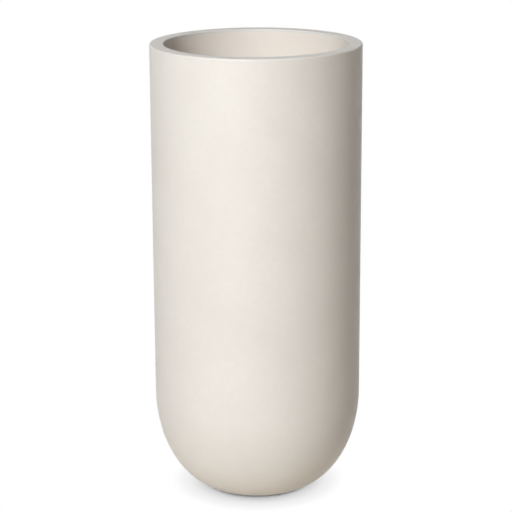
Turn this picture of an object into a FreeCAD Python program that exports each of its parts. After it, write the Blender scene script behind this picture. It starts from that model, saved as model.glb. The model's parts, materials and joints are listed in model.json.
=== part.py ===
"""Tall fibreglass floor planter with a bowl-shaped lower end, as the pieces it is assembled from.

Sizes are in millimetres, +Z is up, and the origin lies on the floor under the middle of the foot.

A laminated outer shell makes the wall, the bowl, the flat foot and the turned-in rim. A straight inner
sleeve hangs from the rim, so the wall is as thick as the rim is wide, and hollow between its two skins.
Spacer blocks under the rim keep the skins apart there. Lower down, a ring ties the sleeve to the shell
and carries its ledge, on which a slotted shelf lies loose. A cast disc on the raised floor weighs the
small foot down. A drain sleeve runs through both, closed from below by a rubber plug, and rubber pads
hold the foot off the floor so that water can run out from under it.
"""

import FreeCAD, Part
import math
import os

# Outer form
outer_radius = 203.0
overall_height = 887.0        # floor to the top of the rim
bowl_semi_height = 196.0      # vertical semi-axis of the elliptical bowl
foot_cut = 3.0                # how much of that ellipse is cut off flat to make the foot
foot_radius = 98.0            # where the bowl meets the flat foot
bowl_bands = 7                # elliptical bands that the bowl's outside is turned in
bowl_strips = 5               # straight strips of laminate that line its inside

# Laminate
shell_thickness = 5.0
sleeve_thickness = 4.0

# Rim
rim_width = 27.0              # from the outside of the wall to the opening
rim_thickness = 5.0
rim_outer_bevel = 2.0
rim_inner_bevel = 1.5

# Spacer blocks in the hollow wall, under the rim
spacer_count = 6
spacer_width = 40.0
spacer_height = 30.0

# Ledge inside, where the shelf lies
ledge_depth = 336.0           # top of the rim down to the ledge
ledge_width = 24.0            # how far the ledge reaches in from the opening's wall
ledge_corner = 8.0            # bevelled inside corner between the sleeve and its ledge
ledge_ring_thickness = 12.0

# Recess under the foot
recess_radius = 60.0
recess_height = 14.0
recess_draft = 3.0            # how much narrower the recess is at its top

# Weight on the raised floor
ballast_radius = 110.0
ballast_height = 45.0

# Drain
drain_bore_radius = 13.0
drain_wall = 3.0
drain_standing = 4.0          # how far the drain sleeve stands above the weight
plug_fit = 0.05               # radial clearance of the plug in its bore
plug_shank_length = 16.0
plug_head_radius = 19.0
plug_head_thickness = 4.0
plug_grip_length = 22.0
plug_grip_thickness = 5.0
plug_grip_height = 7.0
plug_grip_corner = 3.0

# Foot pads
pad_count = 4
pad_side = 24.0
pad_thickness = 2.0

# Shelf
shelf_clearance = 1.0         # between the shelf's edge and the bottom of the ledge's bevelled corner
shelf_thickness = 5.0
rib_count = 6
rib_thickness = 4.0
rib_depth = 16.0
rib_clearance = 1.5           # between the ribs' ends and the ledge's free edge
slot_width = 6.0
inner_slot_start = 45.0       # radii where the shelf's drain slots start and end
inner_slot_end = 82.0
outer_slot_start = 96.0
outer_slot_end = 140.0
inner_slots_per_bay = 2
outer_slots_per_bay = 3
finger_hole_radius = 18.0
finger_hole_distance = 70.0   # from the middle of the shelf

# Worked out from the sizes above
foot_z = pad_thickness
bowl_top_z = foot_z + bowl_semi_height - foot_cut
foot_share = math.sqrt(1.0 - (1.0 - foot_cut / bowl_semi_height) ** 2)
bowl_semi_width = (outer_radius - foot_radius) / (1.0 - foot_share)
bowl_centre_radius = outer_radius - bowl_semi_width
wall_inner_radius = outer_radius - shell_thickness
opening_radius = outer_radius - rim_width
sleeve_outer_radius = opening_radius + sleeve_thickness
rim_underside_z = overall_height - rim_thickness
recess_top_z = foot_z + recess_height
floor_top_z = recess_top_z + shell_thickness
ballast_top_z = floor_top_z + ballast_height
ledge_z = overall_height - ledge_depth
ledge_underside_z = ledge_z - sleeve_thickness
ledge_inner_radius = opening_radius - ledge_width
drain_outer_radius = drain_bore_radius + drain_wall
shelf_radius = opening_radius - ledge_corner - shelf_clearance
rib_reach = ledge_inner_radius - rib_clearance

CENTRE = FreeCAD.Vector(0, 0, 0)
AXIS = FreeCAD.Vector(0, 0, 1)


def section_point(radius, height):
    """A point of a turned piece's section, which lies in the XZ plane."""
    return FreeCAD.Vector(radius, 0, height)


def straight_edges(points):
    """Edges that join (radius, height) points in turn."""
    return [
        Part.LineSegment(section_point(*start), section_point(*end)).toShape()
        for start, end in zip(points, points[1:])
    ]


def turned(edges):
    """The solid that a closed section makes when it is turned about the planter's axis."""
    section = Part.Face(Part.Wire(Part.__sortEdges__(edges)))
    return section.revolve(CENTRE, AXIS, 360)


def turned_outline(points):
    """A turned solid with straight edges between (radius, height) points."""
    return turned(straight_edges(points + points[:1]))


def upright_cylinder(radius, low_z, high_z, x=0.0):
    """A cylinder that stands between two heights, on the planter's axis or beside it."""
    return Part.makeCylinder(radius, high_z - low_z, FreeCAD.Vector(x, 0, low_z), AXIS)


def bowl_angles(inset, low_z, count):
    """Angles down the bowl's ellipse, from its level top (0) to low_z, that part it into equal bands."""
    last = math.asin((bowl_top_z - low_z) / (bowl_semi_height - inset))
    return [last * step / count for step in range(count + 1)]


def bowl_outside(low_z):
    """The bowl's outside as elliptical edges, from the straight wall down to low_z."""
    middle = section_point(bowl_centre_radius, bowl_top_z)
    side = middle + FreeCAD.Vector(bowl_semi_width, 0, 0)
    top = middle + FreeCAD.Vector(0, 0, bowl_semi_height)
    tall = bowl_semi_height >= bowl_semi_width
    ellipse = Part.Ellipse(top, side, middle) if tall else Part.Ellipse(side, top, middle)
    quarter = math.pi / 2.0
    angles = bowl_angles(0.0, low_z, bowl_bands)
    if tall:
        spans = [(quarter + start, quarter + end) for start, end in zip(angles, angles[1:])]
    else:
        spans = [(-end, -start) for start, end in zip(angles, angles[1:])]
    return [Part.ArcOfEllipse(ellipse, start, end).toShape() for start, end in spans]


def bowl_inside(low_z):
    """Points down the bowl's inside, which is laid up in straight strips between points of its ellipse."""
    return [
        (bowl_centre_radius + (bowl_semi_width - shell_thickness) * math.cos(angle),
         bowl_top_z - (bowl_semi_height - shell_thickness) * math.sin(angle))
        for angle in bowl_angles(shell_thickness, low_z, bowl_strips)
    ]


def make_outer_shell():
    """One laminate: foot with its recess, bowl, straight wall and turned-in rim."""
    foot_top_z = foot_z + shell_thickness
    underside = [
        (0.0, recess_top_z),
        (recess_radius - recess_draft, recess_top_z),
        (recess_radius, foot_z),
        (foot_radius, foot_z),
    ]
    wall_and_rim = [
        (outer_radius, bowl_top_z),
        (outer_radius, overall_height - rim_outer_bevel),
        (outer_radius - rim_outer_bevel, overall_height),
        (opening_radius + rim_inner_bevel, overall_height),
        (opening_radius, overall_height - rim_inner_bevel),
        (opening_radius, rim_underside_z),
        (wall_inner_radius, rim_underside_z),
    ]
    inside = bowl_inside(foot_top_z) + [
        (recess_radius + shell_thickness, foot_top_z),
        (recess_radius - recess_draft + shell_thickness, floor_top_z),
        (0.0, floor_top_z),
        (0.0, recess_top_z),
    ]
    shell = turned(
        straight_edges(underside) + bowl_outside(foot_z) + straight_edges(wall_and_rim + inside))
    return shell.cut(upright_cylinder(drain_outer_radius, recess_top_z, floor_top_z))


def make_inner_sleeve():
    """The inner skin: a straight bore under the rim that turns in at its foot to make the ledge."""
    return turned_outline([
        (opening_radius, rim_underside_z),
        (opening_radius, ledge_z + ledge_corner),
        (opening_radius - ledge_corner, ledge_z),
        (ledge_inner_radius, ledge_z),
        (ledge_inner_radius, ledge_underside_z),
        (sleeve_outer_radius, ledge_underside_z),
        (sleeve_outer_radius, rim_underside_z),
    ])


def upright_ring(inner_radius, ring_radius, low_z, high_z):
    """A plain ring or tube about the planter's axis, between two heights."""
    return upright_cylinder(ring_radius, low_z, high_z).cut(upright_cylinder(inner_radius, low_z, high_z))


def spoke(start, end, width, low_z, high_z, degrees):
    """A straight radial bar between two distances from the axis, turned to its own angle."""
    bar = Part.makeBox(end - start, width, high_z - low_z, FreeCAD.Vector(start, -width / 2.0, low_z))
    bar.rotate(CENTRE, AXIS, degrees)
    return bar


def make_rim_spacer(index):
    """One block between the skins, flat against the sleeve, with its outer corners on the shell."""
    reach = math.sqrt(wall_inner_radius ** 2 - (spacer_width / 2.0) ** 2)
    low_z = rim_underside_z - spacer_height
    degrees = 360.0 * index / spacer_count
    return spoke(sleeve_outer_radius, reach, spacer_width, low_z, rim_underside_z, degrees)


def make_ledge_ring():
    """The ring across the hollow wall that carries the ledge."""
    return upright_ring(
        ledge_inner_radius, wall_inner_radius, ledge_underside_z - ledge_ring_thickness, ledge_underside_z)


def make_ballast():
    """The cast disc on the raised floor, with a hole for the drain."""
    return upright_ring(drain_outer_radius, ballast_radius, floor_top_z, ballast_top_z)


def make_drain_sleeve():
    """Tube that carries the drain down through the weight and the raised floor."""
    return upright_ring(drain_bore_radius, drain_outer_radius, recess_top_z, ballast_top_z + drain_standing)


def make_drain_plug():
    """Rubber plug pushed up into the drain sleeve, with a grip under its head to pull it out by."""
    head_z = recess_top_z - plug_head_thickness
    shank = upright_cylinder(drain_bore_radius - plug_fit, recess_top_z, recess_top_z + plug_shank_length)
    head = upright_cylinder(plug_head_radius, head_z, recess_top_z)
    grip_z = head_z - plug_grip_height
    half_grip = plug_grip_length / 2.0
    grip = spoke(-half_grip, half_grip, plug_grip_thickness, grip_z, head_z, 0.0)
    low_ends = [
        edge for edge in grip.Edges
        if edge.BoundBox.ZMax < head_z and edge.BoundBox.XLength < half_grip
    ]
    return shank.fuse([head, grip.makeFillet(plug_grip_corner, low_ends)])


def make_foot_pad(index):
    """One square rubber pad, stuck to the flat ring of the foot."""
    start = (recess_radius + foot_radius - pad_side) / 2.0
    degrees = 360.0 * (index + 0.5) / pad_count
    return spoke(start, start + pad_side, pad_side, 0.0, foot_z, degrees)


def bay_degrees(bay, share):
    """Angle a share of the way across one of the shelf's bays, of which bay 0 lies about +X."""
    return 360.0 * (bay - 0.5 + share) / rib_count


def shelf_openings(low_z, high_z):
    """Drain slots between the ribs, and two finger holes that take the inner slots' place in their bays."""
    openings = [
        upright_cylinder(finger_hole_radius, low_z, high_z, x)
        for x in (-finger_hole_distance, finger_hole_distance)
    ]
    finger_bays = (0, rib_count // 2)
    for bay in range(rib_count):
        for place in range(1, outer_slots_per_bay + 1):
            degrees = bay_degrees(bay, place / (outer_slots_per_bay + 1.0))
            openings.append(spoke(outer_slot_start, outer_slot_end, slot_width, low_z, high_z, degrees))
        if bay in finger_bays:
            continue
        for place in range(1, inner_slots_per_bay + 1):
            degrees = bay_degrees(bay, place / (inner_slots_per_bay + 1.0))
            openings.append(spoke(inner_slot_start, inner_slot_end, slot_width, low_z, high_z, degrees))
    return openings


def make_shelf():
    """Loose slotted shelf: a round plate on radial ribs, whose ends centre it in the ledge."""
    top_z = ledge_z + shelf_thickness
    rib_z = ledge_z - rib_depth
    plate = upright_cylinder(shelf_radius, ledge_z, top_z)
    ribs = [
        spoke(0.0, rib_reach, rib_thickness, rib_z, ledge_z, bay_degrees(bay, 1.0))
        for bay in range(rib_count)
    ]
    return plate.cut(shelf_openings(ledge_z, top_z)).fuse(ribs).removeSplitter()


def save(name, shape):
    """Write one sub-part to its own file."""
    shape.exportStep(f"parts/{name}.step")


os.makedirs("parts", exist_ok=True)
save("outer_shell", make_outer_shell())
save("inner_sleeve", make_inner_sleeve())
for spacer_index in range(spacer_count):
    save(f"rim_spacer_{spacer_index + 1}", make_rim_spacer(spacer_index))
save("ledge_ring", make_ledge_ring())
save("ballast", make_ballast())
save("drain_sleeve", make_drain_sleeve())
save("drain_plug", make_drain_plug())
for pad_index in range(pad_count):
    save(f"foot_pad_{pad_index + 1}", make_foot_pad(pad_index))
save("shelf", make_shelf())
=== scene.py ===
"""Looks of the tall fibreglass floor planter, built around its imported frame.

Everything is in metres, +Z is up, and the origin lies on the floor under the middle of the foot.
The sections follow the planter as it is put together: shell, sleeve, spacers, ring, weight, drain, pads,
shelf. The studio and the camera come last.
"""

import json
import math

import bmesh
import bpy
import numpy as np
from mathutils import Matrix

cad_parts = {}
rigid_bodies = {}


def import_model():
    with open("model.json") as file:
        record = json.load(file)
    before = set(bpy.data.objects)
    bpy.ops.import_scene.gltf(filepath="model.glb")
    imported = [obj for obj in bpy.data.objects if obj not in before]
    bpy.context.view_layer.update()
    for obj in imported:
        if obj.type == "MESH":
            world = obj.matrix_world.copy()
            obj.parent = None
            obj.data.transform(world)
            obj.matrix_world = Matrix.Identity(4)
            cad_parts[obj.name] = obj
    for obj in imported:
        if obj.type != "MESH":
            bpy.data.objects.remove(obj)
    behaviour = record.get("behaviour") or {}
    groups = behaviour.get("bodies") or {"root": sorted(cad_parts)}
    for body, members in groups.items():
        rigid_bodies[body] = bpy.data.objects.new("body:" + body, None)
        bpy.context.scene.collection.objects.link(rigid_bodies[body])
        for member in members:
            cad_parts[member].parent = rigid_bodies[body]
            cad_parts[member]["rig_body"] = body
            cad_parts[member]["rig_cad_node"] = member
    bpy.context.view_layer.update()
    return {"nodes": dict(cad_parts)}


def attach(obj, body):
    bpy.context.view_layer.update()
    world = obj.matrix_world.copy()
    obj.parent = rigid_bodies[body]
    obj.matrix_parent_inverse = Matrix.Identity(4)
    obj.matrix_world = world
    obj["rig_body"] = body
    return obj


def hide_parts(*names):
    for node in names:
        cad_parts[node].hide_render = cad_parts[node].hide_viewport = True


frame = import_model()

# ---------------------------------------------------------------------------------------------------------
# Outer shell. One hand-laid fibreglass laminate with a straight wall, an elliptical bowl, a flat foot with
# a recess, and a turned-in rim. It comes out of a female mould and its outside is sprayed a satin
# off-white. The inside is left as bare laminate. Its rim edges are eased by hand.
# ---------------------------------------------------------------------------------------------------------

TURN_STEPS = 256              # facets round the axis in the large turned pieces
GUARD = 0.0004                # a loop this far from a rounded corner keeps the flat beside it flat

OUTER_RADIUS = 0.203
TOP_Z = 0.887
FOOT_Z = 0.002
BOWL_TOP_Z = 0.195
BOWL_HEIGHT = 0.196
FOOT_CUT = 0.003              # what is cut off the ellipse to make the foot
FOOT_RADIUS = 0.098
SHELL_WALL = 0.005
OPENING_RADIUS = 0.176
RIM_UNDERSIDE_Z = 0.882
RIM_OUTER_ROUND = 0.003
RIM_INNER_ROUND = 0.002
RECESS_TOP_Z = 0.016
RECESS_RADIUS = 0.060
RECESS_TOP_RADIUS = 0.057
RECESS_TOP_ROUND = 0.002
RECESS_FOOT_ROUND = 0.0015
FLOOR_TOP_Z = 0.021
DRAIN_RADIUS = 0.016          # outside of the drain sleeve, which the floor fits round

MAT_RADIUS = 0.190            # radius at which the mat's pattern is wrapped, between shell and sleeve
STRAND_WIDTH_MM = 1.6
STRAND_LENGTH_MM = 22.0
STRAND_DEGREES = (8.0, 41.0, 74.0, 101.0, 133.0, 162.0)


def per_metre(size_mm):
    """Texture scale for a pattern that repeats about every size_mm millimetres: 1000 over the size."""
    return 1000.0 / size_mm


def linear(hex_colour):
    """sRGB hex to linear RGBA: a value under 0.04045 over 12.92, else ((v + 0.055) / 1.055) to the 2.4."""
    parts = [int(hex_colour[i:i + 2], 16) / 255.0 for i in (1, 3, 5)]
    return [v / 12.92 if v <= 0.04045 else ((v + 0.055) / 1.055) ** 2.4 for v in parts] + [1.0]


def add_node(tree, kind, inputs=None, **settings):
    """Add a node, set its properties, and set or link its inputs (a socket given as a value is linked)."""
    node = tree.nodes.new(kind)
    for name, value in settings.items():
        setattr(node, name, value)
    for name, value in (inputs or {}).items():
        if isinstance(value, bpy.types.NodeSocket):
            tree.links.new(value, node.inputs[name])
        else:
            node.inputs[name].default_value = value
    return node


def start_material(name, roughness, ior):
    """An empty material with a Principled surface, and the object coordinates that its patterns read."""
    material = bpy.data.materials.new(name)
    material.use_nodes = True
    tree = material.node_tree
    tree.nodes.clear()
    surface = add_node(tree, "ShaderNodeBsdfPrincipled", {"Roughness": roughness, "IOR": ior})
    output = add_node(tree, "ShaderNodeOutputMaterial")
    tree.links.new(surface.outputs["BSDF"], output.inputs["Surface"])
    place = add_node(tree, "ShaderNodeTexCoord").outputs["Object"]
    return material, tree, surface, place


def noise(tree, place, size_mm, detail=2.0, roughness=0.5):
    """Noise value (0 to 1) with a repeat of about size_mm."""
    node = add_node(tree, "ShaderNodeTexNoise", {
        "Vector": place, "Scale": per_metre(size_mm), "Detail": detail, "Roughness": roughness})
    return node.outputs["Fac"]


def spread(tree, value, low, high, from_low=0.3, from_high=0.7):
    """Straight-line map of a value from one range to another, held at the ends."""
    return add_node(tree, "ShaderNodeMapRange", {
        "Value": value, "From Min": from_low, "From Max": from_high, "To Min": low, "To Max": high,
    }).outputs["Result"]


def blend_colour(tree, share, first, second):
    """Colour a share of the way from the first to the second."""
    node = add_node(tree, "ShaderNodeMix", data_type="RGBA")
    for index, value in ((0, share), (6, first), (7, second)):
        if isinstance(value, bpy.types.NodeSocket):
            tree.links.new(value, node.inputs[index])
        else:
            node.inputs[index].default_value = value
    return node.outputs[2]


def bump(tree, height, depth_mm, under=None):
    """Surface normal with the given height pattern, depth_mm deep, over another bump if there is one."""
    inputs = {"Height": height, "Distance": depth_mm / 1000.0, "Strength": 1.0}
    if under is not None:
        inputs["Normal"] = under
    return add_node(tree, "ShaderNodeBump", inputs).outputs["Normal"]


def make_satin_coat(name, dull, clear, flecked, smooth, rough):
    """Sprayed satin polyurethane on gelcoat: even and off-white, with a little orange peel in the sheen.

    The real peel is 1 to 2 mm across and is drawn at 3.5 mm, so that it shows.
    """
    material, tree, surface, place = start_material(name, smooth, 1.50)
    cloud = noise(tree, place, 140.0, 3.0)
    speck = noise(tree, place, 9.0, 2.0)
    body = blend_colour(tree, spread(tree, cloud, 0.0, 1.0), linear(dull), linear(clear))
    colour = blend_colour(tree, spread(tree, speck, 0.0, 0.25), body, linear(flecked))
    tree.links.new(colour, surface.inputs["Base Color"])
    tree.links.new(spread(tree, noise(tree, place, 26.0), smooth, rough), surface.inputs["Roughness"])
    broad = bump(tree, noise(tree, place, 90.0, 1.0), 0.10)
    peel = bump(tree, noise(tree, place, 3.5, 1.0), 0.012, broad)
    tree.links.new(peel, surface.inputs["Normal"])
    return material


def wrapped(tree, place, radius):
    """Coordinates that follow a turned wall: u = radius * atan2(x, -y) round it, and v = z + r up it.

    On a flat ring v runs outwards. The two ends of the mat meet at the back, where x is 0 and y above 0.
    """
    parts = add_node(tree, "ShaderNodeSeparateXYZ", {"Vector": place}).outputs
    towards = add_node(tree, "ShaderNodeMath", {0: parts["Y"], 1: -1.0}, operation="MULTIPLY").outputs[0]
    angle = add_node(tree, "ShaderNodeMath", {0: parts["X"], 1: towards}, operation="ARCTAN2").outputs[0]
    flat = add_node(tree, "ShaderNodeCombineXYZ", {"X": parts["X"], "Y": parts["Y"]}).outputs["Vector"]
    out = add_node(tree, "ShaderNodeVectorMath", {0: flat}, operation="LENGTH").outputs["Value"]
    return add_node(tree, "ShaderNodeCombineXYZ", {
        "X": add_node(tree, "ShaderNodeMath", {0: angle, 1: radius}, operation="MULTIPLY").outputs[0],
        "Y": add_node(tree, "ShaderNodeMath", {0: parts["Z"], 1: out}, operation="ADD").outputs[0],
    }).outputs["Vector"]


def strands(tree, place, degrees, width_mm, length_mm):
    """Strand pattern: noise turned by an angle in the surface, then stretched along the strands."""
    turned = add_node(tree, "ShaderNodeMapping", {
        "Vector": place,
        "Location": (0.0, 0.0, degrees / 1000.0),
        "Rotation": (0.0, 0.0, math.radians(degrees)),
        "Scale": (length_mm / 1000.0, width_mm / 1000.0, width_mm / 1000.0),
    }, vector_type="TEXTURE").outputs["Vector"]
    node = add_node(tree, "ShaderNodeTexNoise", {"Vector": turned, "Scale": 1.0, "Detail": 1.0})
    return spread(tree, node.outputs["Fac"], 0.0, 1.0, 0.56, 0.68)


def make_bare_laminate():
    """Chopped-strand mat in polyester resin: straw-coloured, shiny between the bundles of fibre."""
    material, tree, surface, place = start_material("bare_chopped_strand_laminate", 0.35, 1.55)
    mat_place = wrapped(tree, place, MAT_RADIUS)
    over = strands(tree, mat_place, STRAND_DEGREES[0], STRAND_WIDTH_MM, STRAND_LENGTH_MM)
    for degrees in STRAND_DEGREES[1:]:
        one = strands(tree, mat_place, degrees, STRAND_WIDTH_MM, STRAND_LENGTH_MM)
        over = add_node(tree, "ShaderNodeMath", {0: over, 1: one}, operation="MAXIMUM").outputs[0]
    resin = blend_colour(tree, noise(tree, place, 60.0), linear("#A79E7B"), linear("#BDB592"))
    colour = blend_colour(tree, over, resin, linear("#D9D4BC"))
    tree.links.new(colour, surface.inputs["Base Color"])
    tree.links.new(spread(tree, over, 0.30, 0.52, 0.0, 1.0), surface.inputs["Roughness"])
    tree.links.new(bump(tree, over, 0.25), surface.inputs["Normal"])
    return material


satin_coat = make_satin_coat("satin_coat_on_fibreglass", "#E5E3E0", "#EAE9E6", "#E1DFD9", 0.38, 0.47)
bare_laminate = make_bare_laminate()


def eased(before, corner, after, radius, steps=6):
    """Points of an arc tangent to both runs at a corner, with a guard point beyond each end.

    The arc starts radius * tan(half the turn) from the corner. Its centre is on the corner's bisector.
    """
    before, corner, after = (np.array(p, float) for p in (before, corner, after))
    back = (before - corner) / np.linalg.norm(before - corner)
    on = (after - corner) / np.linalg.norm(after - corner)
    turn = math.pi - math.acos(float(np.clip(back @ on, -1.0, 1.0)))
    run = radius * math.tan(turn / 2.0)
    centre = corner + (back + on) / np.linalg.norm(back + on) * (radius / math.cos(turn / 2.0))
    first, last = corner + back * run - centre, corner + on * run - centre
    share = np.linspace(0.0, 1.0, steps + 1)[:, None]
    arc = centre + (np.sin((1.0 - share) * turn) * first + np.sin(share * turn) * last) / math.sin(turn)
    return np.vstack([corner + back * (run + GUARD), arc, corner + on * (run + GUARD)])


def divided(start, end, steps):
    """Points from start to end in equal steps, both ends left out."""
    share = np.linspace(0.0, 1.0, steps + 1)[1:-1, None]
    return np.array(start, float) * (1.0 - share) + np.array(end, float) * share


def make_mesh_piece(name, points, faces, materials, face_materials=None):
    """An object at the origin from a point array and quads or triangles, smooth-shaded."""
    mesh = bpy.data.meshes.new(name)
    mesh.from_pydata(points.tolist(), [], [tuple(face) for face in faces])
    for material in materials:
        mesh.materials.append(material)
    mesh.polygons.foreach_set("use_smooth", np.ones(len(mesh.polygons), bool))
    if face_materials is not None:
        mesh.polygons.foreach_set("material_index", np.asarray(face_materials, np.int32))
    mesh.update()
    piece = bpy.data.objects.new(name, mesh)
    bpy.context.scene.collection.objects.link(piece)
    return piece


def turned_piece(name, loop, materials, loop_materials=None, steps=TURN_STEPS):
    """A closed section turned about Z: x = r cos a, y = r sin a, z = z.

    The last ring is joined to the first. The loop runs anticlockwise in the (r, z) plane, so that the
    faces point outwards.
    """
    loop = np.asarray(loop, float)
    count = len(loop)
    angle = np.linspace(0.0, 2.0 * math.pi, steps, endpoint=False)
    radius, height = loop[:, 0][None, :], loop[:, 1][None, :]
    points = np.stack([
        radius * np.cos(angle)[:, None],
        radius * np.sin(angle)[:, None],
        np.tile(height, (steps, 1)),
    ], axis=-1).reshape(-1, 3)
    here, there = np.meshgrid(np.arange(steps), np.arange(count), indexing="ij")
    next_here, next_there = (here + 1) % steps, (there + 1) % count
    faces = np.stack([
        here * count + there, next_here * count + there,
        next_here * count + next_there, here * count + next_there,
    ], axis=-1).reshape(-1, 4)
    indices = None if loop_materials is None else np.tile(np.asarray(loop_materials), steps)
    return make_mesh_piece(name, points, faces, materials, indices)


def bowl_curve(inset, low_z, count):
    """Quarter ellipse of the bowl, moved in by inset: r = centre + a cos t, z = top - b sin t.

    It ends at low_z. The full ellipse would end FOOT_CUT lower, and a is such that the foot's radius fits.
    """
    foot_share = math.sqrt(1.0 - (1.0 - FOOT_CUT / BOWL_HEIGHT) ** 2)
    semi_width = (OUTER_RADIUS - FOOT_RADIUS) / (1.0 - foot_share)
    last = math.asin((BOWL_TOP_Z - low_z) / (BOWL_HEIGHT - inset))
    angle = np.linspace(0.0, last, count)
    return np.stack([
        OUTER_RADIUS - semi_width + (semi_width - inset) * np.cos(angle),
        BOWL_TOP_Z - (BOWL_HEIGHT - inset) * np.sin(angle),
    ], axis=-1)


def shell_section():
    """The shell's closed section, up its outside, over the rim and down its inside, and its finishes."""
    outside_bowl = bowl_curve(0.0, FOOT_Z, 64)[::-1]
    inside_bowl = bowl_curve(SHELL_WALL, FOOT_Z + SHELL_WALL, 40)
    recess_top, recess_foot = (RECESS_TOP_RADIUS, RECESS_TOP_Z), (RECESS_RADIUS, FOOT_Z)
    rim_low = (OUTER_RADIUS, BOWL_TOP_Z)
    rim_outer, rim_inner = (OUTER_RADIUS, TOP_Z), (OPENING_RADIUS, TOP_Z)
    rim_foot, wall_top = (OPENING_RADIUS, RIM_UNDERSIDE_Z), (OUTER_RADIUS - SHELL_WALL, RIM_UNDERSIDE_Z)
    outside = np.vstack([
        [(DRAIN_RADIUS, RECESS_TOP_Z), (DRAIN_RADIUS + GUARD, RECESS_TOP_Z)],
        eased((DRAIN_RADIUS, RECESS_TOP_Z), recess_top, recess_foot, RECESS_TOP_ROUND),
        eased(recess_top, recess_foot, (FOOT_RADIUS, FOOT_Z), RECESS_FOOT_ROUND),
        [(FOOT_RADIUS - GUARD, FOOT_Z)],
        outside_bowl,
        divided(rim_low, rim_outer, 12),
        eased(rim_low, rim_outer, rim_inner, RIM_OUTER_ROUND, 10),
        eased(rim_outer, rim_inner, rim_foot, RIM_INNER_ROUND, 8),
        [(OPENING_RADIUS, RIM_UNDERSIDE_Z + GUARD / 4.0), rim_foot],
    ])
    inside = np.vstack([
        [(OPENING_RADIUS + GUARD / 4.0, RIM_UNDERSIDE_Z)],
        [(wall_top[0] - GUARD, RIM_UNDERSIDE_Z), wall_top, (wall_top[0], RIM_UNDERSIDE_Z - GUARD)],
        divided(wall_top, inside_bowl[0], 6),
        inside_bowl,
        [(RECESS_RADIUS + SHELL_WALL, FOOT_Z + SHELL_WALL), (RECESS_TOP_RADIUS + SHELL_WALL, FLOOR_TOP_Z)],
        [(DRAIN_RADIUS, FLOOR_TOP_Z)],
    ])
    return np.vstack([outside, inside]), [0] * len(outside) + [1] * len(inside)


shell_loop, shell_finish = shell_section()
outer_shell = turned_piece("outer_shell_coated", shell_loop, [satin_coat, bare_laminate], shell_finish)
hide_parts("outer_shell")
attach(outer_shell, "planter")

# ---------------------------------------------------------------------------------------------------------
# Inner sleeve. A second fibreglass skin bonded up under the rim, sprayed with the same satin coat on the
# side that shows, and turned in at its foot to make the ledge for the shelf.
# ---------------------------------------------------------------------------------------------------------

SLEEVE_OUTER_RADIUS = 0.180
LEDGE_Z = 0.551
LEDGE_UNDERSIDE_Z = 0.547
LEDGE_INNER_RADIUS = 0.152
LEDGE_FILLET = 0.008
LEDGE_LIP_ROUND = 0.001
LAMINATE_EDGE = 0.0008        # rounding of a trimmed laminate edge

# Duller than the coat outside, and painted lighter and warmer: painted light inside the opening.
# Its colour was fitted, not known.
inner_coat_with_painted_light = make_satin_coat("satin_coat_lightened_as_painted_light", "#EFE8DF", "#F2ECE4", "#EBE4DA", 0.46, 0.56)

bore_top = (OPENING_RADIUS, RIM_UNDERSIDE_Z)
ledge_corner = (OPENING_RADIUS, LEDGE_Z)
ledge_lip = (LEDGE_INNER_RADIUS, LEDGE_Z)
ledge_low = (LEDGE_INNER_RADIUS, LEDGE_UNDERSIDE_Z)
coated_side = np.vstack([
    [bore_top, (OPENING_RADIUS, RIM_UNDERSIDE_Z - GUARD)],
    divided(bore_top, (OPENING_RADIUS, LEDGE_Z + LEDGE_FILLET), 8),
    eased(bore_top, ledge_corner, ledge_lip, LEDGE_FILLET, 8),
    eased(ledge_corner, ledge_lip, ledge_low, LEDGE_LIP_ROUND, 4),
])
sleeve_low = (SLEEVE_OUTER_RADIUS, LEDGE_UNDERSIDE_Z)
sleeve_top = (SLEEVE_OUTER_RADIUS, RIM_UNDERSIDE_Z)
bare_side = np.vstack([
    eased(ledge_lip, ledge_low, sleeve_low, LAMINATE_EDGE, 3),
    eased(ledge_low, sleeve_low, sleeve_top, LAMINATE_EDGE, 3),
    eased(sleeve_low, sleeve_top, bore_top, LAMINATE_EDGE, 3),
    [(OPENING_RADIUS + GUARD, RIM_UNDERSIDE_Z)],
])
inner_sleeve = turned_piece(
    "inner_sleeve_coated", np.vstack([coated_side, bare_side]), [inner_coat_with_painted_light, bare_laminate],
    [0] * len(coated_side) + [1] * len(bare_side))
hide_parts("inner_sleeve")
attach(inner_sleeve, "planter")

# ---------------------------------------------------------------------------------------------------------
# Rim spacers. Six plywood blocks, sealed in resin and bonded between the two skins under the rim, where
# they keep the hollow wall its width.
# ---------------------------------------------------------------------------------------------------------


def make_sealed_plywood():
    """Birch plywood brushed with resin: plies about 1.5 mm thick, light and dark in turn, fine grain."""
    material, tree, surface, place = start_material("resin_sealed_plywood", 0.38, 1.52)
    plies = add_node(tree, "ShaderNodeTexWave", {
        "Vector": place, "Scale": per_metre(3.0) / math.tau * 2.0, "Distortion": 0.4, "Detail": 1.0},
        bands_direction="Z").outputs["Fac"]
    grain = noise(tree, add_node(tree, "ShaderNodeMapping", {
        "Vector": place, "Scale": (1.0, 1.0, 12.0)}).outputs["Vector"], 8.0, 3.0)
    layers = blend_colour(tree, plies, linear("#A67B4E"), linear("#C9A472"))
    colour = blend_colour(tree, spread(tree, grain, 0.0, 0.35), layers, linear("#8A633B"))
    tree.links.new(colour, surface.inputs["Base Color"])
    tree.links.new(bump(tree, plies, 0.08), surface.inputs["Normal"])
    return material


sealed_plywood = make_sealed_plywood()


def refinish(node_name, material):
    """Give a CAD node that stays as it is its own finish."""
    mesh = frame["nodes"][node_name].data
    mesh.materials.clear()
    mesh.materials.append(material)


for index in range(6):
    refinish(f"rim_spacer_{index + 1}", sealed_plywood)

# ---------------------------------------------------------------------------------------------------------
# Ledge ring. A 12 mm laminated ring bonded across the hollow wall, which ties the sleeve to the shell and
# holds up the ledge.
# ---------------------------------------------------------------------------------------------------------

RING_RADIUS = OUTER_RADIUS - SHELL_WALL
RING_LOW_Z = 0.535


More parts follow.
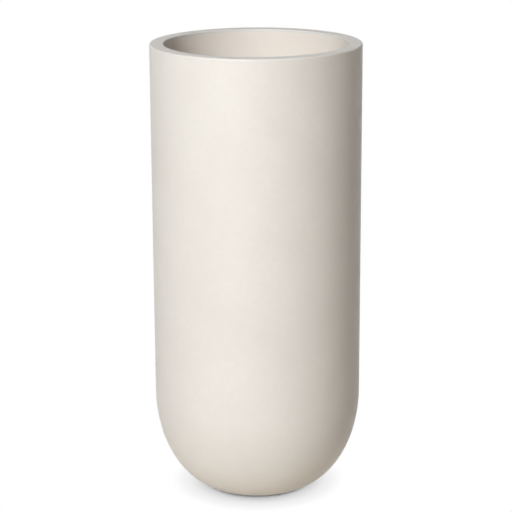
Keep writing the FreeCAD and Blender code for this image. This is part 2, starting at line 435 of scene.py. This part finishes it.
def eased_loop(corners, radius, steps=3):
    """A closed section through the corners, each of them rounded to the same radius."""
    return np.vstack([
        eased(corners[i - 1], corners[i], corners[(i + 1) % len(corners)], radius, steps)
        for i in range(len(corners))
    ])


ring_corners = [
    (LEDGE_INNER_RADIUS, RING_LOW_Z), (RING_RADIUS, RING_LOW_Z),
    (RING_RADIUS, LEDGE_UNDERSIDE_Z), (LEDGE_INNER_RADIUS, LEDGE_UNDERSIDE_Z),
]
ledge_ring = turned_piece("ledge_ring_laminate", eased_loop(ring_corners, LAMINATE_EDGE), [bare_laminate])
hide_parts("ledge_ring")
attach(ledge_ring, "planter")

# ---------------------------------------------------------------------------------------------------------
# Ballast. A disc of fine concrete cast on the raised floor round the drain sleeve. Its top was floated by
# hand, so it is slightly wavy and open-pored.
# ---------------------------------------------------------------------------------------------------------

BALLAST_RADIUS = 0.110
BALLAST_TOP_Z = 0.066
BALLAST_TOP_ROUND = 0.004
BALLAST_EDGE_ROUND = 0.0015   # at its foot and at its hole
FLOAT_DEPTH = 0.0007


def make_cast_concrete():
    """Fine grey concrete: mottled cement with sand grains and pinholes about 2 mm across."""
    material, tree, surface, place = start_material("floated_fine_concrete", 0.88, 1.50)
    mottle = noise(tree, place, 45.0, 5.0, 0.6)
    sand = noise(tree, place, 1.8, 2.0)
    pores = add_node(tree, "ShaderNodeTexVoronoi", {
        "Vector": place, "Scale": per_metre(11.0)}).outputs["Distance"]
    pinhole_depth_and_shade = spread(tree, pores, 1.0, 0.0, 0.05, 0.12)
    cement = blend_colour(tree, spread(tree, mottle, 0.0, 1.0), linear("#85827C"), linear("#A5A29A"))
    sanded = blend_colour(tree, spread(tree, sand, 0.0, 0.4), cement, linear("#BDB9AE"))
    # The pinholes are painted dark as painted shade inside them, and the same mask also sinks them in the
    # bump.
    colour = blend_colour(tree, pinhole_depth_and_shade, sanded, linear("#4E4B47"))
    tree.links.new(colour, surface.inputs["Base Color"])
    rough = bump(tree, sand, 0.25)
    depth = add_node(tree, "ShaderNodeMath", {0: 1.0, 1: pinhole_depth_and_shade}, operation="SUBTRACT").outputs[0]
    tree.links.new(bump(tree, depth, 0.8, rough), surface.inputs["Normal"])
    return material


cast_concrete = make_cast_concrete()
disc_low, disc_top = (BALLAST_RADIUS, FLOOR_TOP_Z), (BALLAST_RADIUS, BALLAST_TOP_Z)
hole_top, hole_low = (DRAIN_RADIUS, BALLAST_TOP_Z), (DRAIN_RADIUS, FLOOR_TOP_Z)
disc_loop = np.vstack([
    [hole_low], divided(hole_low, disc_low, 8)[:-1],
    eased(hole_low, disc_low, disc_top, BALLAST_EDGE_ROUND, 4), divided(disc_low, disc_top, 6),
    eased(disc_low, disc_top, hole_top, BALLAST_TOP_ROUND, 6),
    divided(disc_top, hole_top, 24)[1:-1],
    eased(disc_top, hole_top, hole_low, BALLAST_EDGE_ROUND, 4),
])
ballast = turned_piece("ballast_cast", disc_loop, [cast_concrete])
disc_points = np.empty(len(ballast.data.vertices) * 3)
ballast.data.vertices.foreach_get("co", disc_points)
disc_points = disc_points.reshape(-1, 3)
# Float marks: the top sinks by up to 0.7 mm in crossed sine waves, and nothing rises above its height.
float_marks = 0.5 + 0.25 * (np.sin(disc_points[:, 0] * 90.0 + np.sin(disc_points[:, 1] * 41.0) * 2.0)
                            + np.sin(disc_points[:, 1] * 67.0 + disc_points[:, 0] * 23.0))
on_top = disc_points[:, 2] > BALLAST_TOP_Z - 0.0002
disc_points[on_top, 2] -= FLOAT_DEPTH * float_marks[on_top]
ballast.data.vertices.foreach_set("co", disc_points.ravel())
ballast.data.update()
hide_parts("ballast")
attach(ballast, "planter")

# ---------------------------------------------------------------------------------------------------------
# Drain sleeve. A short length of grey extruded pipe cast in with the weight, its upper end cut square and
# deburred, standing 4 mm proud so that silt stays back.
# ---------------------------------------------------------------------------------------------------------

DRAIN_BORE = 0.013
DRAIN_TOP_Z = 0.070
PIPE_EDGE = 0.0006
PIPE_STEPS = 96               # facets round the pipe, which is small


def make_extruded_pipe():
    """Grey rigid vinyl pipe: faint die lines along its length about 1 mm apart, satin."""
    material, tree, surface, place = start_material("grey_extruded_pipe", 0.40, 1.53)
    lines = noise(tree, add_node(tree, "ShaderNodeMapping", {
        "Vector": place, "Scale": (1.0, 1.0, 0.02)}).outputs["Vector"], 1.0, 1.0)
    colour = blend_colour(tree, spread(tree, lines, 0.0, 1.0), linear("#8E9092"), linear("#9FA1A3"))
    tree.links.new(colour, surface.inputs["Base Color"])
    tree.links.new(bump(tree, lines, 0.03), surface.inputs["Normal"])
    return material


pipe_corners = [
    (DRAIN_BORE, RECESS_TOP_Z), (DRAIN_RADIUS, RECESS_TOP_Z),
    (DRAIN_RADIUS, DRAIN_TOP_Z), (DRAIN_BORE, DRAIN_TOP_Z),
]
drain_sleeve = turned_piece(
    "drain_sleeve_pipe", eased_loop(pipe_corners, PIPE_EDGE), [make_extruded_pipe()], steps=PIPE_STEPS)
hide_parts("drain_sleeve")
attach(drain_sleeve, "planter")

# ---------------------------------------------------------------------------------------------------------
# Drain plug. One moulding in black rubber: a shank, a flanged head and a grip to pull it out by. It is
# pushed up into the drain sleeve from below.
# ---------------------------------------------------------------------------------------------------------

PLUG_EDGE = 0.0006
WELD = 2e-6                   # points closer than this are one
FLAT_DEGREES = 0.5            # faces that lean less than this to each other are one flat
SHARP_DEGREES = 40.0          # edges sharper than this are rounded


def make_moulded_rubber():
    """Black moulded rubber: matt and slightly dusty, with the fine grain of a blasted mould."""
    material, tree, surface, place = start_material("moulded_black_rubber", 0.72, 1.52)
    bloom = noise(tree, place, 14.0, 4.0, 0.6)
    colour = blend_colour(tree, spread(tree, bloom, 0.0, 1.0), linear("#1B1B1B"), linear("#2B2A29"))
    tree.links.new(colour, surface.inputs["Base Color"])
    tree.links.new(spread(tree, bloom, 0.62, 0.80), surface.inputs["Roughness"])
    tree.links.new(bump(tree, noise(tree, place, 0.9, 1.0), 0.03), surface.inputs["Normal"])
    return material


def softened_copy(node_name, name, width, material, body, steps=3):
    """A copy of a CAD node with its triangles merged into flats and its sharp edges rounded off."""
    piece = frame["nodes"][node_name].copy()
    piece.data = piece.data.copy()
    piece.name = piece.data.name = name
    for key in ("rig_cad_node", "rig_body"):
        if key in piece:
            del piece[key]
    piece.parent = None
    bpy.context.scene.collection.objects.link(piece)
    work = bmesh.new()
    work.from_mesh(piece.data)
    bmesh.ops.remove_doubles(work, verts=work.verts, dist=WELD)
    bmesh.ops.dissolve_limit(
        work, angle_limit=math.radians(FLAT_DEGREES), verts=work.verts, edges=work.edges,
        delimit={"NORMAL"})
    work.to_mesh(piece.data)
    work.free()
    piece.data.materials.clear()
    piece.data.materials.append(material)
    piece.data.shade_smooth()
    rounding = piece.modifiers.new("eased_edges", "BEVEL")
    rounding.width = width
    rounding.segments = steps
    rounding.limit_method = "ANGLE"
    rounding.angle_limit = math.radians(SHARP_DEGREES)
    # The flats keep their own normals, so that only the roundings are shaded as curved.
    shading = piece.modifiers.new("level_flats", "WEIGHTED_NORMAL")
    shading.mode = "FACE_AREA"
    shading.weight = 100
    shading.keep_sharp = True
    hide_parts(node_name)
    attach(piece, body)
    return piece


moulded_rubber = make_moulded_rubber()
softened_copy("drain_plug", "drain_plug_moulded", PLUG_EDGE, moulded_rubber, "drain_plug")

# ---------------------------------------------------------------------------------------------------------
# Foot pads. Four squares of 2 mm rubber sheet stuck to the flat ring of the foot, which hold it off the
# floor so that water can run out from under it.
# ---------------------------------------------------------------------------------------------------------

PAD_EDGE = 0.0003

for index in range(4):
    softened_copy(
        f"foot_pad_{index + 1}", f"foot_pad_{index + 1}_cut", PAD_EDGE, moulded_rubber, "planter",
        2)

# ---------------------------------------------------------------------------------------------------------
# Shelf. One injection moulding in black polypropylene: a slotted plate on six radial ribs, with two finger
# holes. It lies loose on the ledge and lifts out.
# ---------------------------------------------------------------------------------------------------------

SHELF_EDGE = 0.0005


def make_moulded_plastic():
    """Black moulded polypropylene: satin, with a spark-eroded grain drawn at 1.4 mm so that it shows."""
    material, tree, surface, place = start_material("moulded_black_polypropylene", 0.48, 1.49)
    flow = noise(tree, place, 70.0, 3.0)
    grain = noise(tree, place, 1.4, 1.0)
    colour = blend_colour(tree, spread(tree, flow, 0.0, 1.0), linear("#262626"), linear("#333231"))
    tree.links.new(colour, surface.inputs["Base Color"])
    tree.links.new(spread(tree, flow, 0.42, 0.55), surface.inputs["Roughness"])
    tree.links.new(bump(tree, grain, 0.04), surface.inputs["Normal"])
    return material


softened_copy("shelf", "shelf_moulded", SHELF_EDGE, make_moulded_plastic(), "shelf", 2)

# ---------------------------------------------------------------------------------------------------------
# Studio. A white floor and surround, a large soft lamp at the front left, weak warm ones overhead and at
# the right, one low down behind, and a very dim fill. The floor has a painted contact shadow.
# ---------------------------------------------------------------------------------------------------------

FLOOR_HALF = 6.0
FLOOR_Z = -0.0001             # just under the pads, so that their undersides and the floor stay apart
# Share of open sky over a spot of floor, and how light the spot then shows.
SHADOW_STOPS = ((0.05, 0.03), (0.08, 0.22), (0.12, 0.63), (0.35, 0.84), (0.84, 0.985), (0.95, 1.0))
SHADOW_REACH = 0.045          # how far the contact shadow spreads over the floor
SHADOW_LEAN = (0.24, -0.12, 0.96)   # towards the clearer side of the floor, where the shadow is lighter
FILL_STRENGTH = 0.008


def seen_share(tree):
    """One for camera, glossy and transmission rays, which see the white, and zero for the rest."""
    rays = add_node(tree, "ShaderNodeLightPath").outputs
    seen = add_node(tree, "ShaderNodeMath", {
        0: rays["Is Camera Ray"], 1: rays["Is Glossy Ray"]}, operation="MAXIMUM").outputs[0]
    return add_node(tree, "ShaderNodeMath", {
        0: seen, 1: rays["Is Transmission Ray"]}, operation="MAXIMUM").outputs[0]


floor_grid = np.array([
    (-FLOOR_HALF, -FLOOR_HALF, FLOOR_Z), (FLOOR_HALF, -FLOOR_HALF, FLOOR_Z),
    (FLOOR_HALF, FLOOR_HALF, FLOOR_Z), (-FLOOR_HALF, FLOOR_HALF, FLOOR_Z)])
floor_paint = bpy.data.materials.new("white_studio_floor")
floor_paint.use_nodes = True
floor_tree = floor_paint.node_tree
floor_tree.nodes.clear()
# Painted shadow: the white that the camera sees on the floor is darkened where the spot has less open sky.
open_share = add_node(floor_tree, "ShaderNodeAmbientOcclusion", {
    "Distance": SHADOW_REACH, "Normal": SHADOW_LEAN}, samples=16)
ramp = add_node(floor_tree, "ShaderNodeValToRGB", {"Fac": open_share.outputs["AO"]})
marks = ramp.color_ramp.elements
marks.remove(marks[1])        # a new ramp has two marks; the first is used again, and the rest are added
for index, (stop, level) in enumerate(SHADOW_STOPS):
    mark = marks.new(stop) if index else marks[0]
    mark.position = stop
    mark.color = (level, level, level, 1.0)
white = add_node(floor_tree, "ShaderNodeEmission", {"Color": ramp.outputs["Color"], "Strength": 1.0})
matt = add_node(floor_tree, "ShaderNodeBsdfDiffuse", {"Color": linear("#DACCB8")})
floor_mix = add_node(floor_tree, "ShaderNodeMixShader", {
    0: seen_share(floor_tree), 1: matt.outputs["BSDF"], 2: white.outputs["Emission"]})
floor_out = add_node(floor_tree, "ShaderNodeOutputMaterial")
floor_tree.links.new(floor_mix.outputs["Shader"], floor_out.inputs["Surface"])
floor = make_mesh_piece("studio_floor", floor_grid, [(0, 1, 2, 3)], [floor_paint])

world = bpy.data.worlds.new("studio_surround")
bpy.context.scene.world = world
world.use_nodes = True
sky_tree = world.node_tree
sky_tree.nodes.clear()
fill = add_node(sky_tree, "ShaderNodeBackground", {"Color": linear("#FFF4E6"), "Strength": FILL_STRENGTH})
backdrop = add_node(sky_tree, "ShaderNodeBackground", {"Color": (1.0, 1.0, 1.0, 1.0), "Strength": 1.0})
sky_mix = add_node(sky_tree, "ShaderNodeMixShader", {
    0: seen_share(sky_tree), 1: fill.outputs["Background"], 2: backdrop.outputs["Background"]})
sky_out = add_node(sky_tree, "ShaderNodeOutputWorld")
sky_tree.links.new(sky_mix.outputs["Shader"], sky_out.inputs["Surface"])

TARGET = np.array([0.0, 0.0, 0.45])   # half way up the planter, which every lamp is aimed at


def soft_lamp(name, azimuth, elevation, distance, width, height, power, colour):
    """An area lamp aimed at the planter; azimuth 0 is in front of it (-Y) and positive to the right."""
    turn, lift = math.radians(azimuth), math.radians(elevation)
    back = np.array([math.sin(turn) * math.cos(lift), -math.cos(turn) * math.cos(lift), math.sin(lift)])
    lamp = bpy.data.lights.new(name, "AREA")
    lamp.shape = "RECTANGLE"
    lamp.size = width
    lamp.size_y = height
    lamp.energy = power
    lamp.color = linear(colour)[:3]
    holder = bpy.data.objects.new(name, lamp)
    bpy.context.scene.collection.objects.link(holder)
    side = np.cross([0.0, 0.0, 1.0], back)
    side /= np.linalg.norm(side)
    up = np.cross(back, side)
    matrix = np.eye(4)
    matrix[:3, 0], matrix[:3, 1], matrix[:3, 2] = side, up, back
    matrix[:3, 3] = TARGET + back * distance
    holder.matrix_world = Matrix(matrix.tolist())
    holder.visible_camera = False
    return holder


soft_lamp("key_lamp", -22.0, 27.0, 9.0, 3.2, 4.5, 745.0, "#FFFFFF")
soft_lamp("overhead_lamp", 0.0, 78.0, 9.0, 3.2, 3.2, 82.0, "#FFEBD2")
soft_lamp("side_lamp", 50.0, 30.0, 9.0, 3.2, 4.5, 12.0, "#FFE6CC")
# The lamp behind stays lower than the rim, so that the flat of the rim doesn't catch it. It is left out of
# the sheen, where it would bleach the sides at a grazing angle.
back_lamp = soft_lamp("back_lamp", 178.0, 0.0, 5.0, 2.0, 0.8, 180.0, "#FFFFFF")
back_lamp.visible_glossy = False

bpy.context.scene.view_settings.view_transform = "Standard"

# ---------------------------------------------------------------------------------------------------------
# Camera. It stands 3.45 m in front of the planter and 1.41 m up, looking down by 15.3 degrees.
# ---------------------------------------------------------------------------------------------------------

CAMERA_PLACE = (0.0, -3.4547, 1.4077)
CAMERA_PITCH = 0.2662         # radians below level
CAMERA_YAW = -0.0005
CAMERA_ROLL = -0.0045
SENSOR = 36.0                 # millimetres, as is the lens
LENS = 128.26

ahead = np.array([
    math.sin(CAMERA_YAW) * math.cos(CAMERA_PITCH),
    math.cos(CAMERA_YAW) * math.cos(CAMERA_PITCH),
    -math.sin(CAMERA_PITCH)])
level = np.array([math.cos(CAMERA_YAW), -math.sin(CAMERA_YAW), 0.0])
upward = np.cross(level, ahead)
right_hand = math.cos(CAMERA_ROLL) * level + math.sin(CAMERA_ROLL) * upward
head = -math.sin(CAMERA_ROLL) * level + math.cos(CAMERA_ROLL) * upward
camera_frame = np.eye(4)
camera_frame[:3, 0], camera_frame[:3, 1], camera_frame[:3, 2] = right_hand, head, -ahead
camera_frame[:3, 3] = CAMERA_PLACE
lens = bpy.data.cameras.new("photo_view")
lens.sensor_width = SENSOR
lens.lens = LENS
camera = bpy.data.objects.new("photo_view", lens)
bpy.context.scene.collection.objects.link(camera)
camera.matrix_world = Matrix(camera_frame.tolist())
bpy.context.scene.camera = camera
